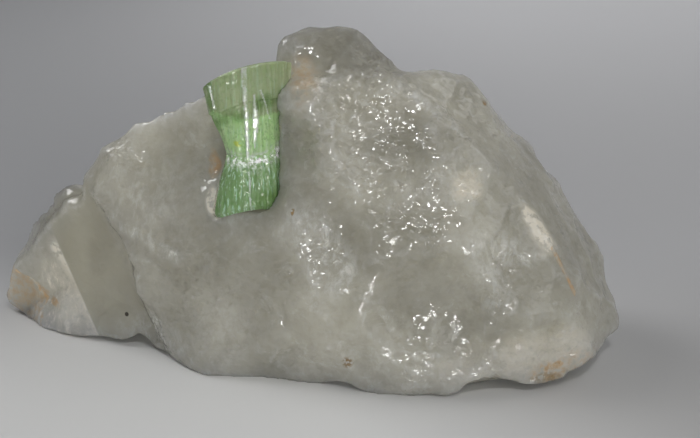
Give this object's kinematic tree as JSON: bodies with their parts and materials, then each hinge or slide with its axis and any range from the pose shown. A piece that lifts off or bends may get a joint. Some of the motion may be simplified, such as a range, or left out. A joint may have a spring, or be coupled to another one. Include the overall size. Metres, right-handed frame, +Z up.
{
  "type": "tourmaline crystal in quartz matrix",
  "caption": "Broken lump of milky quartz with a green tourmaline column set in its upper front edge, a standing mineral specimen for display.",
  "frame": {"origin": "middle of the specimen's bounding box at the level that it stands on", "axes": "+X along the lump from its crystal end to its broad end, +Y away from the side with the tourmaline, +Z up"},
  "size_m": [0.0978, 0.0418, 0.0503],
  "materials": {
    "quartz_matrix": "broken glassy, milky and cloudy inside",
    "tourmaline_crystal": "glassy, ribbed lengthwise"
  },
  "bodies": {
    "root": {"quartz_matrix": "quartz_matrix", "tourmaline_crystal": "tourmaline_crystal"}
  },
  "joints": []
}
